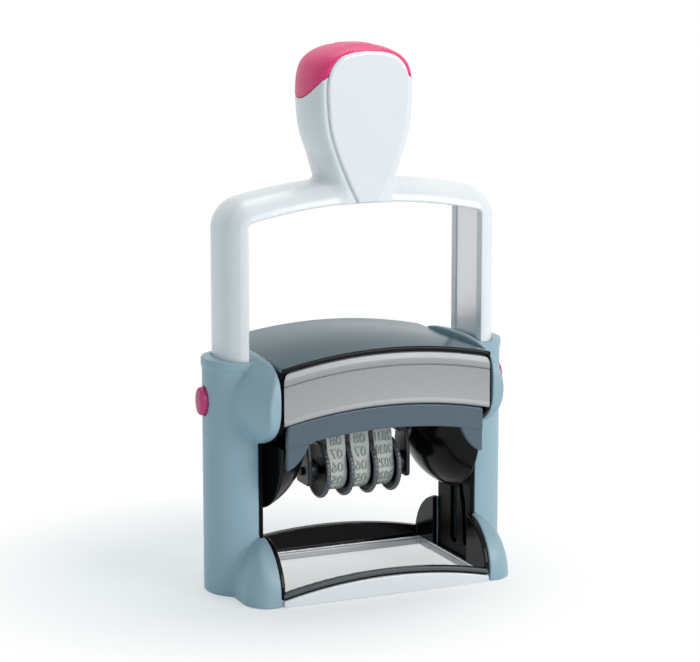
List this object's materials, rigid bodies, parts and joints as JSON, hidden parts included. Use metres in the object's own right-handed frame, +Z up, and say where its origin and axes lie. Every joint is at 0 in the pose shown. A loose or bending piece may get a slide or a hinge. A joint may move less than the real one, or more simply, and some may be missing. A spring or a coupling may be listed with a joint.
{
  "type": "self-inking date stamp",
  "caption": "Self-inking date stamp with a bow handle, teardrop knob, arched ink housing, framed base and a date platen that turns over when pressed.",
  "frame": {"origin": "on the table, under the middle of the base", "axes": "+Z up, -Y toward the front of the stamp, X across it"},
  "size_m": [0.1156, 0.06, 0.1871],
  "materials": {
    "cheek_grey": "fine satin moulding",
    "black_plastic": "satin moulding",
    "dark_steel": "blackened steel sheet",
    "bright_steel": "polished strip",
    "pale_gloss": "gloss",
    "trim_grey": "satin",
    "cover_smoke": "gloss",
    "panel_silver": "fine brushed",
    "bow_white": "soft gloss",
    "cap_pink": "soft touch",
    "grip_blue": "satin",
    "felt": "inked felt",
    "die_rubber": "matt rubber",
    "band_rubber": "matt rubber",
    "wheel_grey": "satin",
    "fixing_steel": "bright zinc"
  },
  "bodies": {
    "frame": {"left_cheek": "cheek_grey", "right_cheek": "cheek_grey", "left_side_plate": "dark_steel", "right_side_plate": "dark_steel", "base_frame": "black_plastic", "base_rim": "bright_steel", "front_base_plate": "pale_gloss", "rear_base_plate": "pale_gloss", "front_trim": "trim_grey", "rear_trim": "trim_grey", "base_screws": "fixing_steel", "pad_housing": "black_plastic", "top_cover": "cover_smoke", "rear_panel": "panel_silver", "return_springs": "fixing_steel"},
    "handle": {"handle_bow": "bow_white", "steel_bow": "bright_steel", "knob_cap": "cap_pink", "knob_front_plate": "pale_gloss", "knob_rear_plate": "pale_gloss"},
    "platen": {"platen_carrier": "black_plastic", "text_plate": "black_plastic", "text_die": "die_rubber", "platen_axles": "fixing_steel", "cam_pins": "fixing_steel", "date_frame": "black_plastic", "date_axle": "fixing_steel", "day_band": "band_rubber", "month_band": "band_rubber", "year_band": "band_rubber"},
    "day_wheel": {"day_wheel": "wheel_grey"},
    "month_wheel": {"month_wheel": "wheel_grey"},
    "year_wheel": {"year_wheel": "wheel_grey"},
    "cassette": {"ink_cassette": "grip_blue", "ink_pad": "felt", "front_panel": "panel_silver"},
    "left_button": {"left_lock_button": "cap_pink"},
    "right_button": {"right_lock_button": "cap_pink"}
  },
  "joints": [
    {"name": "handle_press", "type": "slide", "parent": "frame", "child": "handle", "axis": [0, 0, -1], "range_m": [0, 0.044], "stiffness_N_per_m": 400, "springref_m": -0.015, "deforming": ["return_springs", "ink_pad"]},
    {"name": "platen_flip", "type": "hinge", "parent": "handle", "child": "platen", "pos_m": [0, 0, 0.0535], "axis": [1, 0, 0], "range_deg": [0, 180]},
    {"name": "cassette_slide", "type": "slide", "parent": "frame", "child": "cassette", "axis": [0, -1, 0], "range_m": [0, 0.05]},
    {"name": "left_lock_press", "type": "slide", "parent": "frame", "child": "left_button", "axis": [1, 0, 0], "range_m": [0, 0.0016], "stiffness_N_per_m": 800, "springref_m": -0.001},
    {"name": "right_lock_press", "type": "slide", "parent": "frame", "child": "right_button", "axis": [-1, 0, 0], "range_m": [0, 0.0016], "stiffness_N_per_m": 800, "springref_m": -0.001},
    {"name": "day_wheel_turn", "type": "hinge", "parent": "platen", "child": "day_wheel", "pos_m": [0, 0, 0.039], "axis": [1, 0, 0], "continuous": true},
    {"name": "month_wheel_turn", "type": "hinge", "parent": "platen", "child": "month_wheel", "pos_m": [0, 0, 0.039], "axis": [1, 0, 0], "continuous": true},
    {"name": "year_wheel_turn", "type": "hinge", "parent": "platen", "child": "year_wheel", "pos_m": [0, 0, 0.039], "axis": [1, 0, 0], "continuous": true}
  ],
  "couplings": [
    {"joint": "platen_flip", "follows": "handle_press", "rad_per_m": 71.4}
  ]
}
